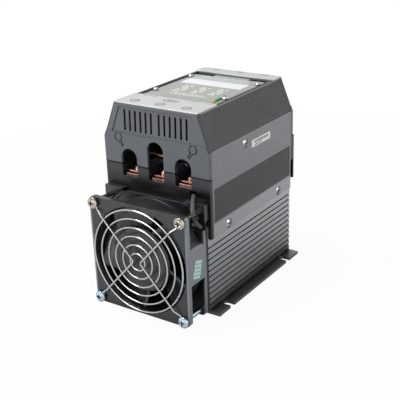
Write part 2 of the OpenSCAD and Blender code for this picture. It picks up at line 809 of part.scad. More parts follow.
module terminal_bolts() {
    seat_z = bar_z + bar_t + terminal_stack;
    color(copper_colour) for (i = [-1:1]) translate([i * phase_pitch, -bolt_y, seat_z])
        pan_screw(bolt_head_r, bolt_head_h, bolt_r, seat_z - bar_z - bolt_end_gap);
}

module module_screws() {
    color(steel_colour) for (i = [-1:1], y = [-pad_y, pad_y]) translate([i * phase_pitch, y, bar_z + bar_t])
        pan_screw(module_head_r, module_head_h, module_screw_r, bar_t + bar_z - module_top_z + module_bite);
}

// Copper strip that crosses behind the arches
module copper_strip() {
    half = body_w / 2 - cover_t - cap_skirt_gap - cap_skirt_t - strip_gap;
    color(copper_colour) translate([-half, front_y + strip_inset, strip_z]) cube([2 * half, strip_w, strip_t]);
}

// Thermal switch on the heatsink that starts the fan
module thermal_switch() {
    color([0.8, 0.78, 0.7]) translate([0, switch_y, sink_top_z]) {
        cylinder(r = switch_r, h = switch_h);
        translate([-switch_foot[0] / 2, -switch_foot[1] / 2, 0]) cube(switch_foot);
        for (s = [-1, 1]) translate([s * switch_plug[0] - switch_tab[0] / 2, -switch_tab[1] / 2, switch_h - cut])
            cube(switch_tab);
        translate([switch_plug[0], -switch_plug[1] / 2, switch_h - cut]) cube(switch_plug);
    }
}

// Plate behind the fan, with two corner lugs that take the upper fan screws
module lug_shape() {
    for (s = [-1, 1]) difference() {
        translate([s > 0 ? 0 : -lug_x, lug_low_z]) square([lug_x, lug_top_z - lug_low_z]);
        translate([0, fan_z]) circle(lug_cut_r);
    }
}

module rib_shape() {
    difference() {
        translate([0, fan_z]) circle(rib_r[1]);
        translate([0, fan_z]) circle(rib_r[0]);
        translate([-fan_w, -fan_w]) square([2 * fan_w, fan_w + lug_low_z]);
        translate([-fan_w, fan_plate_z]) square(2 * fan_w);
    }
}

module fan_plate() {
    color(black_colour) difference() {
        union() {
            slab(fan_rear_y, -sink_len / 2) intersection() {
                translate([0, fan_z]) round_rect(fan_w, fan_w, fan_front_flange_r);
                translate([-fan_w, -fan_w]) square([2 * fan_w, fan_w + fan_plate_z]);
            }
            slab(lug_y, -sink_len / 2) lug_shape();
            slab(fan_rear_y - rib_t, -sink_len / 2) rib_shape();
        }
        slab(fan_rear_y - cut, cut - sink_len / 2) translate([0, fan_z]) circle(passage_r);
        for (sx = [-1, 1]) {
            facing_front(sx * fan_pitch / 2, cut - sink_len / 2, fan_screw_z)
                cylinder(r = fan_screw_r, h = fan_plate_t + lug_t + 2 * cut);
            facing_front(sx * fan_pitch / 2, cut - sink_len / 2, fan_z - fan_pitch / 2)
                cylinder(r = fan_hole_r, h = fan_plate_t + 2 * cut);
        }
    }
}

// Fan frame, drawn from its rear face towards the front
module at_fan() {
    facing_front(0, fan_rear_y, fan_z) children();
}

module fan_frame() {
    corner = rear_corner_z - fan_z;
    color(black_colour) at_fan() {
        difference() {
            union() {
                cylinder(r = barrel_r - barrel_step, h = fan_depth);
                translate([0, 0, barrel_step_at]) cylinder(r = barrel_r, h = fan_depth - barrel_step_at);
                translate([0, 0, barrel_step_at]) cylinder(r = barrel_r + lip_grow, h = lip_t);
                translate([0, 0, fan_depth - front_flange_t]) linear_extrude(front_flange_t)
                    round_rect(fan_w, fan_w, fan_front_flange_r);
                linear_extrude(rear_flange_t) intersection() {
                    round_rect(fan_w, fan_w, fan_front_flange_r);
                    translate([-fan_w / 2, -fan_w / 2]) square([fan_w, fan_w / 2 + corner]);
                }
                translate([fan_w / 2 - 12, -side_flat_h / 2 + 2.2, cut]) linear_extrude(fan_depth - 2 * cut)
                    polygon([[0, 0], [12, 0], [12, side_flat_h], [6, side_flat_h + 5.4], [0, side_flat_h + 5.4]]);
            }
            translate([0, 0, -cut]) cylinder(r = passage_r, h = fan_depth + 2 * cut);
            translate([0, 0, fan_depth - mouth_h]) cylinder(r1 = passage_r, r2 = mouth_r, h = mouth_h);
            for (sx = [-1, 1], sy = [-1, 1]) translate([sx * fan_pitch / 2, sy * fan_pitch / 2, -cut])
                cylinder(r = fan_hole_r, h = fan_depth + 2 * cut);
        }
        difference() {
            union() {
                cylinder(r = cup_r, h = cup_t);
                cylinder(r = bearing_r + tube_wall, h = tube_h);
                for (a = [45:90:315]) rotate(a) translate([cup_r - 2, -strut_w / 2, 0])
                    cube([passage_r - cup_r + 2.6, strut_w, rear_flange_t - 0.1]);
            }
            translate([0, 0, 1]) cylinder(r = bearing_r, h = tube_h);
        }
    }
}

// One blade: a cambered sheet cut to a swept outline
module blade_outline() {
    span = 360 / blade_count - blade_gap_angle;
    far = blade_r * 1.3;
    inner = hub_r - hub_wall;
    tip = -blade_sweep_angle;
    polygon([inner * [cos(0), sin(0)], far * [cos(tip), sin(tip)],
        far * 1.3 * [cos(tip - span / 2), sin(tip - span / 2)],
        far * [cos(tip - span), sin(tip - span)], inner * [cos(-span), sin(-span)]]);
}

module blade() {
    span = 360 / blade_count - blade_gap_angle;
    rise = blade_high - blade_low;
    pitch_angle = atan(rise / blade_chord);
    middle = -span / 2 - blade_sweep_angle / 2;
    intersection() {
        linear_extrude(fan_depth) blade_outline();
        translate([0, 0, blade_low]) cylinder(r = blade_r, h = rise);
        rotate(middle) translate([0, 0, (blade_low + blade_high) / 2]) rotate([90, 0, 90])
            linear_extrude(blade_r * 1.3) rotate(pitch_angle) translate([0, camber_r]) difference() {
                circle(camber_r + blade_t / 2, $fn = 128);
                circle(camber_r - blade_t / 2, $fn = 128);
                translate([-2 * camber_r, 0]) square(4 * camber_r);
            }
    }
}

module fan_rotor() {
    hub_top = fan_depth - hub_front_gap;
    color([0.28, 0.28, 0.3]) at_fan() difference() {
        union() {
            difference() {
                union() {
                    translate([0, 0, hub_low]) cylinder(r = hub_r, h = hub_top - hub_low - 1);
                    translate([0, 0, hub_top - 1]) cylinder(r1 = hub_r, r2 = hub_r - 1, h = 1);
                }
                translate([0, 0, hub_low - cut]) cylinder(r = hub_r - hub_wall, h = hub_top - hub_low - hub_wall + cut);
            }
            translate([0, 0, tube_h + 0.5]) cylinder(r = bearing_r, h = hub_top - tube_h - 0.5 - hub_wall / 2);
            for (i = [0:blade_count - 1]) rotate(blade_edge_angle + blade_sweep_angle + i * 360 / blade_count)
                difference() {
                    blade();
                    cylinder(r = hub_r - hub_wall / 2, h = fan_depth);
                }
        }
        translate([0, 0, hub_low - cut]) cylinder(r = shaft_r, h = hub_top - hub_low - hub_wall + cut);
    }
}

module fan_rotor_ring() {
    outer = hub_r - hub_wall;
    color(steel_colour) at_fan() translate([0, 0, hub_low + 1]) difference() {
        cylinder(r = outer, h = rotor_ring_len);
        translate([0, 0, -cut]) cylinder(r = outer - rotor_ring_t, h = rotor_ring_len + 2 * cut);
    }
}

module fan_shaft() {
    shaft_low = 1.5;
    color(steel_colour) at_fan() translate([0, 0, shaft_low])
        cylinder(r = shaft_r, h = fan_depth - hub_front_gap - hub_wall - shaft_low);
}

module fan_bearings() {
    color(steel_colour) at_fan() for (z = [rear_bearing_at, front_bearing_at]) translate([0, 0, z]) difference() {
        cylinder(r = bearing_r, h = bearing_w);
        translate([0, 0, -cut]) cylinder(r = shaft_r + shaft_gap, h = bearing_w + 2 * cut);
    }
}

module fan_stator() {
    core_r = hub_r - hub_wall - rotor_ring_t - stator_gap;
    color([0.6, 0.4, 0.25]) at_fan() difference() {
        union() {
            translate([0, 0, cup_t]) cylinder(r = core_r * 0.77, h = stator_h);
            for (a = [0:90:270]) rotate(a) translate([0, 0, cup_t + stator_tooth_lift]) intersection() {
                cylinder(r = core_r, h = stator_tooth_h);
                translate([0, -core_r * 0.55, 0]) cube([core_r, core_r * 1.1, stator_tooth_h]);
            }
        }
        translate([0, 0, cup_t - cut]) cylinder(r = bearing_r + tube_wall, h = tube_h);
    }
}

// Finger guard: flat wire rings with two bent spokes in front, hooked round the four screws
module wire(a, b) {
    run = b - a;
    length = norm(run);
    translate(a) rotate([0, acos(run[2] / length), atan2(run[1], run[0])]) cylinder(d = wire_d, h = length, $fn = 24);
    translate(b) sphere(d = wire_d + joint_grow, $fn = 24);
}

module finger_guard() {
    half = fan_pitch / 2;
    reach = ring_r + (ring_count - 1) * ring_pitch;
    color(silver_colour) at_fan() translate([0, 0, fan_depth]) {
        for (i = [0:ring_count - 1]) translate([0, 0, ring_lift]) rotate_extrude()
            translate([ring_r + i * ring_pitch, 0]) circle(d = wire_d, $fn = 24);
        for (sx = [-1, 1], sy = [-1, 1]) {
            start = [sx * (spoke_tip + spoke_blunt / 2), sy * spoke_blunt, spoke_lift];
            along = [sx * (half - spoke_tip), sy * half, 0] / norm([half - spoke_tip, half]);
            end = start + along * (reach + spoke_past);
            foot = [sx * (half - loop_r), sy * (half - hook_len), wire_d / 2];
            wire(start, end);
            wire(end, foot);
            wire(foot, [sx * (half - loop_r), sy * half, wire_d / 2]);
            translate([sx * half, sy * half, wire_d / 2]) rotate_extrude() translate([loop_r, 0])
                circle(d = wire_d, $fn = 24);
        }
        for (sx = [-1, 1]) {
            tip_x = sx * (spoke_tip + spoke_blunt / 2);
            wire([tip_x, -spoke_blunt, spoke_lift], [tip_x, spoke_blunt, spoke_lift]);
            translate([tip_x, -spoke_blunt, spoke_lift]) sphere(d = wire_d + joint_grow, $fn = 24);
        }
    }
}

module guard_screws() {
    color(silver_colour) at_fan() translate([0, 0, fan_depth + wire_d]) for (sx = [-1, 1], sy = [-1, 1])
        translate([sx * fan_pitch / 2, sy * fan_pitch / 2, 0])
            pan_screw(fan_head_r, fan_head_h, fan_screw_r, fan_screw_len);
}

// Fan lead: a tube swept along the hand-set route through a smooth curve
function spline(p, q, r, s, t) = 0.5 * (2 * q + (r - p) * t + (2 * p - 5 * q + 4 * r - s) * pow(t, 2)
    + (3 * q - p - 3 * r + s) * pow(t, 3));
function route_point(i) = lead_route[max(0, min(len(lead_route) - 1, i))] + lead_shift;
function lead_path() = concat([for (i = [0:len(lead_route) - 2], k = [0:lead_steps - 1])
    spline(route_point(i - 1), route_point(i), route_point(i + 1), route_point(i + 2), k / lead_steps)],
    [route_point(len(lead_route) - 1)]);
function unit(v) = v / norm(v);
function path_way(path, i) = unit(path[min(len(path) - 1, i + 1)] - path[max(0, i - 1)]);
function path_ring(path, i) = let (way = path_way(path, i), side = unit(cross(way, [0.35, 0.25, 0.9])),
    up = cross(side, way)) [for (k = [0:lead_sides - 1])
    path[i] + lead_r * (cos(k * 360 / lead_sides) * side + sin(k * 360 / lead_sides) * up)];

module fan_lead() {
    path = lead_path();
    last = len(path) - 1;
    points = [for (i = [0:last]) each path_ring(path, i)];
    walls = [for (i = [0:last - 1], k = [0:lead_sides - 1], half = [0, 1])
        let (a = i * lead_sides + k, b = i * lead_sides + (k + 1) % lead_sides)
        half == 0 ? [a, b, b + lead_sides] : [a, b + lead_sides, a + lead_sides]];
    start_cap = [for (k = [lead_sides - 1:-1:0]) k];
    end_cap = [for (k = [0:lead_sides - 1]) last * lead_sides + k];
    color([0.3, 0.3, 0.32]) polyhedron(points, concat(walls, [start_cap], [end_cap]), convexity = 6);
}

module lead_tie() {
    path = lead_path();
    at = path[tie_at * lead_steps];
    way = path_way(path, tie_at * lead_steps);
    color(black_colour) translate(at) rotate([0, acos(way[2]), atan2(way[1], way[0])]) difference() {
        union() {
            translate([0, 0, -tie_w / 2]) cylinder(r = lead_r + 0.1 + tie_t, h = tie_w);
            translate([-lead_r - tie_t - tie_nub, -tie_nub, -tie_w / 2]) cube([tie_nub + tie_t, 2 * tie_nub, tie_w]);
        }
        translate([0, 0, -tie_w]) cylinder(r = lead_r + 0.1, h = 2 * tie_w);
    }
}

heatsink();
side_cover_left();
side_cover_right();
side_cover_screws();
front_cover();
rear_cover();
front_terminal_base();
rear_terminal_base();
front_top_plate();
rear_top_plate();
control_panel();
panel_screws();
panel_washers();
led(0, [0.85, 0.8, 0.15]);  // led_yellow
led(1, [0.15, 0.6, 0.35]);  // led_green_front
led(2, [0.15, 0.6, 0.35]);  // led_green_rear
led(3, [0.75, 0.1, 0.12]);  // led_red
control_board();
board_transformer();
board_standoffs();
bracket_left();
bracket_right();
thyristor_module(-1);  // thyristor_module_1
thyristor_module(0);  // thyristor_module_2
thyristor_module(1);  // thyristor_module_3
terminal_bar(-1);  // line_bar_1
terminal_bar(0);  // line_bar_2
terminal_bar(1);  // line_bar_3
mirror([0, 1, 0]) terminal_bar(-1);  // load_bar_1
mirror([0, 1, 0]) terminal_bar(0);  // load_bar_2
mirror([0, 1, 0]) terminal_bar(1);  // load_bar_3
terminal_bolts();  // line_bolts
terminal_washers();  // line_washers
mirror([0, 1, 0]) terminal_bolts();  // load_bolts
mirror([0, 1, 0]) terminal_washers();  // load_washers
module_screws();
copper_strip();
thermal_switch();
fan_plate();
fan_frame();
fan_rotor();
fan_rotor_ring();
fan_shaft();
fan_bearings();
fan_stator();
finger_guard();
guard_screws();
fan_lead();
lead_tie();
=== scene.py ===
import math
import bmesh
import bpy
from mathutils import Matrix, Vector


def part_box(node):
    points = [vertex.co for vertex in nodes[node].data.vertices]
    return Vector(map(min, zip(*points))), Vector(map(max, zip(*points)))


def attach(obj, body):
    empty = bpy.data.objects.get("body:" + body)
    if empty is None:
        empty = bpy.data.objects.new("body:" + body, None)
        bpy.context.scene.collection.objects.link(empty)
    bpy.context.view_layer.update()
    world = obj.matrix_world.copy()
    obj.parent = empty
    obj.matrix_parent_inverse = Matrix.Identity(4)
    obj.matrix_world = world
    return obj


# thyristor power regulator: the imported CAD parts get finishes, labels and print
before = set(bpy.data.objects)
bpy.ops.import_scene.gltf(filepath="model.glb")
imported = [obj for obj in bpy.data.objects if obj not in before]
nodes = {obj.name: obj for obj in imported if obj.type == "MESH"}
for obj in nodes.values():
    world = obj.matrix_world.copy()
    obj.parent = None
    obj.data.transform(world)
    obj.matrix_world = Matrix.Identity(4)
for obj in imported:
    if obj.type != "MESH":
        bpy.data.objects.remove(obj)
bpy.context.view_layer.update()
scene = bpy.context.scene
mm = 0.001  # in metres
print("stage: frame loaded,", len(nodes), "nodes")

# camera at the angle of the photograph, worked out from the fan's corners and the body's edges
camera = {
    "lens": 73.27,  # mm
    "sensor": 36,  # width in mm
    "place": (361.44, -531.37, 325.01),  # mm
    "azimuth": 34.568,  # degrees, like the next two
    "elevation": 22.05,
    "roll": -1.986,
    "sight": 20,  # metres, how far it sees
}

# soft boxes of a small studio: places and sizes in mm, power in watts
lamps = {
    "key": {"place": (-260, -120, 820), "size": (460, 420), "power": 7.0},
    "side": {"place": (780, 160, 260), "size": (360, 300), "power": 1.5},
    "front": {"place": (-260, -820, 260), "size": (420, 300), "power": 2.4},
}
lampAim = (0, 0, 70)  # mm, the middle of the part

# walls and ceiling: levels are shares of plain white, heights go from 0 at the horizon to 1 straight up
room = {
    "ambient": 0.24,  # light on the part from all round
    "ceiling": 0.3,  # what reflections show overhead
    "ceilingFrom": 0.45,
    "ceilingAll": 0.8,
}

# paper floor: levels are shares of plain white, distances in mm from the middle of the part
paper = {
    "color": "C9C9C9",
    "size": 6000,
    "shadowWhite": 0.955,  # share near the part, where the rest is the paper with its shadow
    "whiteFrom": 320,
    "whiteAll": 620,
    "mirrorWhite": 0.1,  # what reflections show near the part
    "mirrorFrom": 70,
    "mirrorAll": 420,
    "underFrom": 42,  # half the width of the shadowed patch under the part, and where it ends
    "underAll": 49,
    "underSqueeze": 0.62,  # its width over its length
    "underMiddle": -14,  # its middle in y
}


def link(obj):
    scene.collection.objects.link(obj)
    return obj


def placeCamera(c):
    az, el, roll = (math.radians(c[k]) for k in ("azimuth", "elevation", "roll"))
    back = Vector((math.sin(az) * math.cos(el), -math.cos(az) * math.cos(el), math.sin(el)))
    right = Vector((math.cos(az), math.sin(az), 0))
    up = back.cross(right)
    turnedRight = math.cos(roll) * right + math.sin(roll) * up
    turnedUp = -math.sin(roll) * right + math.cos(roll) * up
    data = bpy.data.cameras.new("camera")
    data.lens = c["lens"]
    data.sensor_width = c["sensor"]
    data.clip_end = c["sight"]
    cam = link(bpy.data.objects.new("camera", data))
    turn = Matrix((turnedRight, turnedUp, back)).transposed().to_4x4()
    cam.matrix_world = Matrix.Translation(Vector(c["place"]) * mm) @ turn
    scene.camera = cam


def softBox(name, s):
    data = bpy.data.lights.new(name, "AREA")
    data.shape = "RECTANGLE"
    data.size = s["size"][0] * mm
    data.size_y = s["size"][1] * mm
    data.energy = s["power"]
    lamp = link(bpy.data.objects.new(name, data))
    lamp.location = Vector(s["place"]) * mm
    lamp.rotation_euler = (Vector(lampAim) * mm - lamp.location).to_track_quat("-Z", "Y").to_euler()


# sRGB hex to linear colour
def toLinear(hexColor):
    parts = [int(hexColor[i:i + 2], 16) / 255 for i in (0, 2, 4)]
    return tuple(p / 12.92 if p <= 0.04045 else ((p + 0.055) / 1.055) ** 2.4 for p in parts) + (1.0,)


# adds a node: settings are its attributes, and inputs are values, hex colours or sockets of other nodes,
# by name or number, or as a tuple that fills the first ones in their order
def addNode(tree, kind, settings=None, inputs=()):
    node = tree.nodes.new(kind)
    for key, value in (settings or {}).items():
        setattr(node, key, value)
    for key, value in inputs.items() if isinstance(inputs, dict) else enumerate(inputs):
        if isinstance(value, bpy.types.NodeSocket):
            tree.links.new(value, node.inputs[key])
        else:
            node.inputs[key].default_value = toLinear(value) if isinstance(value, str) else value
    return node


# settings of nodes that come up often
smooth = {"interpolation_type": "SMOOTHSTEP"}  # Map Range with rounded ends
larger = {"operation": "MAXIMUM"}
times = {"operation": "MULTIPLY"}
ofColors = {"data_type": "RGBA"}  # Mix, which has its two colours and its result at these numbers
mixFirst = 6
mixSecond = 7
mixResult = 2


# 1 for rays of the camera, and as much as mirrored says for reflections and glass
def seenWhite(tree, mirrored):
    rays = addNode(tree, "ShaderNodeLightPath").outputs
    bounced = addNode(tree, "ShaderNodeMath", larger, (rays["Is Glossy Ray"], rays["Is Transmission Ray"]))
    dimmed = addNode(tree, "ShaderNodeMath", times, (bounced.outputs[0], mirrored))
    return addNode(tree, "ShaderNodeMath", larger, (rays["Is Camera Ray"], dimmed.outputs[0])).outputs[0]


# white room with a grey ceiling: the part gets dimmer light from all round than the camera sees
def buildRoom(s):
    world = bpy.data.worlds.new("room")
    scene.world = world
    world.use_nodes = True
    tree = world.node_tree
    view = addNode(tree, "ShaderNodeTexCoord").outputs["Generated"]
    height = addNode(tree, "ShaderNodeSeparateXYZ", {}, (view,)).outputs["Z"]
    walls = addNode(tree, "ShaderNodeMapRange", smooth,
                    (height, s["ceilingFrom"], s["ceilingAll"], 1.0, s["ceiling"]))
    white = seenWhite(tree, walls.outputs[0])
    level = addNode(tree, "ShaderNodeMapRange", {}, {"Value": white, "To Min": s["ambient"]})
    background = tree.nodes["Background"]
    background.inputs["Color"].default_value = (1, 1, 1, 1)
    tree.links.new(level.outputs[0], background.inputs["Strength"])


# pale floor: it takes the shadow near the part, turns plain white further out and stays grey under the part
def buildFloor(s):
    half = s["size"] * mm / 2
    mesh = bpy.data.meshes.new("floor")
    corners = [(-half, -half, 0), (half, -half, 0), (half, half, 0), (-half, half, 0)]
    mesh.from_pydata(corners, [], [(0, 1, 2, 3)])
    floor = link(bpy.data.objects.new("floor", mesh))
    mat = bpy.data.materials.new("seamless_paper_matte")
    mat.use_nodes = True
    tree = mat.node_tree
    tree.nodes.clear()
    matte = addNode(tree, "ShaderNodeBsdfDiffuse", {}, (s["color"],))
    glow = addNode(tree, "ShaderNodeEmission", {}, ("FFFFFF", 1.0))
    place = addNode(tree, "ShaderNodeTexCoord").outputs["Object"]
    away = addNode(tree, "ShaderNodeVectorMath", {"operation": "LENGTH"}, (place,)).outputs["Value"]
    white = addNode(tree, "ShaderNodeMapRange", smooth,
                    (away, s["whiteFrom"] * mm, s["whiteAll"] * mm, s["shadowWhite"]))
    mirrored = addNode(tree, "ShaderNodeMapRange", smooth,
                       (away, s["mirrorFrom"] * mm, s["mirrorAll"] * mm, s["mirrorWhite"]))
    squeeze = (1, s["underSqueeze"], 1)
    shift = (0, -s["underMiddle"] * s["underSqueeze"] * mm, 0)
    squeezed = addNode(tree, "ShaderNodeVectorMath", {"operation": "MULTIPLY_ADD"}, (place, squeeze, shift))
    beside = addNode(tree, "ShaderNodeVectorMath", {"operation": "LENGTH"}, (squeezed.outputs[0],))
    outside = addNode(tree, "ShaderNodeMapRange", smooth,
                      (beside.outputs["Value"], s["underFrom"] * mm, s["underAll"] * mm))
    bright = addNode(tree, "ShaderNodeMath", times, (outside.outputs[0], white.outputs[0])).outputs[0]
    share = addNode(tree, "ShaderNodeMath", times, (seenWhite(tree, mirrored.outputs[0]), bright))
    blended = addNode(tree, "ShaderNodeMixShader", {}, (share.outputs[0], matte.outputs[0], glow.outputs[0]))
    addNode(tree, "ShaderNodeOutputMaterial", {}, (blended.outputs[0],))
    mesh.materials.append(mat)


placeCamera(camera)
for lampName, lampValues in lamps.items():
    softBox(lampName, lampValues)
buildRoom(room)
buildFloor(paper)
print("stage: camera, lamps, room and floor")

# values that all finishes share
noiseUsed = (0.3, 0.7)  # the range in which most of a noise lies
noiseRoughness = 0.55  # how strongly its finer octaves show
fineDetail = 2.0  # octaves of the surface grain
patchDetail = 3.0  # octaves of patches and mottle
raySamples = 6  # rays that look for rounded edges and for shade
edgeLean = (0.02, 0.25)  # lean of a rounded edge where its wear begins, and where it is full
footBlend = 0.5  # mm over which the tone of the ends comes in


# a new material with its shader, and object coordinates in millimetres
def startMaterial(name, metallic=0.0, specular=0.5):
    mat = bpy.data.materials.new(name)
    mat.use_nodes = True
    tree = mat.node_tree
    shader = tree.nodes["Principled BSDF"]
    shader.inputs["Metallic"].default_value = metallic
    shader.inputs["Specular IOR Level"].default_value = specular
    place = addNode(tree, "ShaderNodeTexCoord").outputs["Object"]
    inMm = addNode(tree, "ShaderNodeVectorMath", {"operation": "SCALE"}, {0: place, "Scale": 1 / mm})
    return mat, tree, shader, inMm.outputs[0]


# noise whose grain is size mm, drawn out by stretch along each axis
def grain(tree, place, size, stretch=(1, 1, 1), detail=patchDetail):
    scaled = addNode(tree, "ShaderNodeVectorMath", times, (place, tuple(1 / (size * s) for s in stretch)))
    return addNode(tree, "ShaderNodeTexNoise", {},
                   {"Vector": scaled.outputs[0], "Scale": 1.0, "Detail": detail,
                    "Roughness": noiseRoughness}).outputs["Fac"]


# one colour drawn over another where the noise is high, as strongly as share says
def tinted(tree, noise, share, first, second):
    factor = addNode(tree, "ShaderNodeMapRange", {}, (noise, *noiseUsed, 0.0, share)).outputs[0]
    return addNode(tree, "ShaderNodeMix", ofColors,
                   {0: factor, mixFirst: first, mixSecond: second}).outputs[mixResult]


# roughness that follows the noise from the lower to the higher of two values
def roughened(tree, shader, noise, bounds):
    rough = addNode(tree, "ShaderNodeMapRange", {}, (noise, *noiseUsed, *bounds))
    tree.links.new(rough.outputs[0], shader.inputs["Roughness"])


# surface relief in mm over edges rounded to a radius of edge mm
def relief(tree, shader, height, depth, edge):
    soft = addNode(tree, "ShaderNodeBevel", {"samples": raySamples}, {"Radius": edge * mm})
    bump = addNode(tree, "ShaderNodeBump", {}, {"Height": height, "Distance": depth * mm, "Strength": 1.0,
                                                "Normal": soft.outputs[0]})
    tree.links.new(bump.outputs[0], shader.inputs["Normal"])


# edges tinted to another colour: partly wear, partly a painted highlight on rounded edges; a darker edge
# colour paints shade along seams
def edgeWearAndHighlight(tree, color, s):
    soft = addNode(tree, "ShaderNodeBevel", {"samples": raySamples}, {"Radius": s["edgeSize"] * mm})
    sharp = addNode(tree, "ShaderNodeNewGeometry")
    same = addNode(tree, "ShaderNodeVectorMath", {"operation": "DOT_PRODUCT"},
                   (soft.outputs[0], sharp.outputs["Normal"])).outputs["Value"]
    mask = addNode(tree, "ShaderNodeMapRange", {}, (same, 1 - edgeLean[0], 1 - edgeLean[1])).outputs[0]
    return addNode(tree, "ShaderNodeMix", ofColors,
                   {0: mask, mixFirst: color, mixSecond: s["edgeColor"]}).outputs[mixResult]


# tones by height: each is low, high, the colour below low and the colour above high, where None keeps it
def tonedByHeight(tree, place, color, heights):
    z = addNode(tree, "ShaderNodeSeparateXYZ", {}, (place,)).outputs["Z"]
    for low, high, below, above in heights:
        factor = addNode(tree, "ShaderNodeMapRange", smooth, (z, low, high)).outputs[0]
        color = addNode(tree, "ShaderNodeMix", ofColors,
                        {0: factor, mixFirst: below or color, mixSecond: above or color}).outputs[mixResult]
    return color


# tone of both ends along an axis, above the height foot: it starts where the distance from the middle, plus
# lean times the height, passes begin and is full at full, so that it can follow a slanted side
def tonedAtEnds(tree, place, color, s):
    parts = addNode(tree, "ShaderNodeSeparateXYZ", {}, (place,)).outputs
    distance = addNode(tree, "ShaderNodeMath", {"operation": "ABSOLUTE"}, (parts[s["axis"]],)).outputs[0]
    leaned = addNode(tree, "ShaderNodeMath", {"operation": "MULTIPLY_ADD"},
                     (parts["Z"], s["lean"], distance)).outputs[0]
    past = addNode(tree, "ShaderNodeMapRange", smooth, (leaned, s["begin"], s["full"])).outputs[0]
    raised = addNode(tree, "ShaderNodeMapRange", smooth, (parts["Z"], s["foot"], s["foot"] + footBlend))
    both = addNode(tree, "ShaderNodeMath", times, (past, raised.outputs[0])).outputs[0]
    return addNode(tree, "ShaderNodeMix", ofColors,
                   {0: both, mixFirst: color, mixSecond: s["color"]}).outputs[mixResult]


# painted shade in grooves and corners narrower than size mm: bounds are the shares of open view for full
# shade and for none
def shaded(tree, color, size, bounds, shade):
    view = addNode(tree, "ShaderNodeAmbientOcclusion", {"samples": raySamples, "only_local": True},
                   {"Distance": size * mm}).outputs["AO"]
    unshadedShare = addNode(tree, "ShaderNodeMapRange", {}, (view, *bounds)).outputs[0]
    return addNode(tree, "ShaderNodeMix", ofColors,
                   {0: unshadedShare, mixFirst: shade, mixSecond: color}).outputs[mixResult]


# metal or plastic: patches and lines of tint, fine relief, edges with wear and painted highlight,
# tones by place that are mostly painted light and shade, and painted shade in grooves
def madeSurface(name, s):
    mat, tree, shader, place = startMaterial(name, s["metallic"], s["specular"])
    fine = grain(tree, place, s["grainSize"], s["stretch"], fineDetail)
    color = tinted(tree, grain(tree, place, s["patchSize"]), 1.0, s["color"], s["patchColor"])
    if "lineColor" in s:
        color = tinted(tree, fine, s["lineShow"], color, s["lineColor"])
    color = edgeWearAndHighlight(tree, color, s)
    if "heights" in s:
        color = tonedByHeight(tree, place, color, s["heights"])
    if "ends" in s:
        color = tonedAtEnds(tree, place, color, s["ends"])
    color = shaded(tree, color, s["cavitySize"], s["cavityRange"], s["cavityColor"])
    if "cornerSize" in s:
        color = shaded(tree, color, s["cornerSize"], s["cornerRange"], s["cavityColor"])
    tree.links.new(color, shader.inputs["Base Color"])
    roughened(tree, shader, fine, s["roughness"])
    relief(tree, shader, fine, s["grainDepth"], s["edgeSize"])
    return mat


# tinted lamp plastic: light goes a little way in, and a small highlight sits on top
def castLamp(name, color, deepColor, s):
    mat, tree, shader, place = startMaterial(name)
    cloud = grain(tree, place, s["cloudSize"])
    tree.links.new(tinted(tree, cloud, 1.0, color, deepColor), shader.inputs["Base Color"])
    roughened(tree, shader, cloud, s["roughness"])
    shader.inputs["Transmission Weight"].default_value = s["clear"]
    return mat


# ink or vinyl: flat colour with a faint mottle
def flatColor(name, color, mottleColor, s):
    mat, tree, shader, place = startMaterial(name, specular=s["specular"])
    mottle = grain(tree, place, s["mottleSize"])
    tree.links.new(tinted(tree, mottle, 1.0, color, mottleColor), shader.inputs["Base Color"])
    roughened(tree, shader, mottle, s["roughness"])
    return mat


# woven sleeve: diagonal waves that cross in the surface
def wovenSleeve(name, s):
    mat, tree, shader, place = startMaterial(name)
    shader.inputs["Roughness"].default_value = s["roughness"]
    waves = []
    for turn in ((1, 1, 1), (-1, -1, 1)):
        turnedPlace = addNode(tree, "ShaderNodeVectorMath", times, (place, turn)).outputs[0]
        waves.append(addNode(tree, "ShaderNodeTexWave", {"bands_direction": "DIAGONAL"},
                             {"Vector": turnedPlace, "Scale": 1 / s["pitch"],
                              "Distortion": s["waver"]}).outputs["Fac"])
    crossed = addNode(tree, "ShaderNodeMath", times, waves).outputs[0]
    color = addNode(tree, "ShaderNodeMix", ofColors,
                    {0: crossed, mixFirst: s["color"], mixSecond: s["threadColor"]}).outputs[mixResult]
    tree.links.new(color, shader.inputs["Base Color"])
    relief(tree, shader, crossed, s["threadDepth"], s["edgeSize"])
    return mat


# in the finishes below sizes and depths are in mm, colours are sRGB, and roughness goes from low to high;
# grain and lines are drawn a few times coarser than the real ones, so that they show in the render

# anodised aluminium, extruded: satin metal with die lines along its length, painted shade low down and by
# the flange
heatsinkFinish = {
    "color": "ADAFB2", "patchColor": "A5A7AA", "lineColor": "BBBDC0", "edgeColor": "D6D8DB",
    "metallic": 0.92, "specular": 0.5, "roughness": (0.28, 0.42), "lineShow": 0.5,
    "grainSize": 0.5, "stretch": (1, 120, 1), "grainDepth": 0.02, "patchSize": 14, "edgeSize": 0.2,
    "cavitySize": 2.2, "cavityRange": (0.5, 0.97), "cavityColor": "0A0B0C",
    "cornerSize": 40, "cornerRange": (0.42, 0.9), "heights": ((3, 15, "898B8F", None),),
}

# anodised aluminium, grooved: dark satin with painted shade in its grooves, painted light at the foot,
# painted shade as a black line along the top edge, and on the margins at both ends of the slanted part
coverFinish = {
    "color": "7E7F82", "patchColor": "77787B", "lineColor": "88898C", "edgeColor": "B4B6B9",
    "metallic": 0.9, "specular": 0.5, "roughness": (0.34, 0.48), "lineShow": 0.35,
    "grainSize": 0.5, "stretch": (1, 120, 1), "grainDepth": 0.012, "patchSize": 18, "edgeSize": 0.15,
    "cavitySize": 0.8, "cavityRange": (0.65, 1.0), "cavityColor": "050506",
    "heights": ((74, 78, "9FA0A3", None), (161.2, 161.35, None, "121314")),
    "ends": {"axis": "Y", "lean": 0.0, "begin": 59.3, "full": 59.6, "foot": 133, "color": "4E4F52"},
}
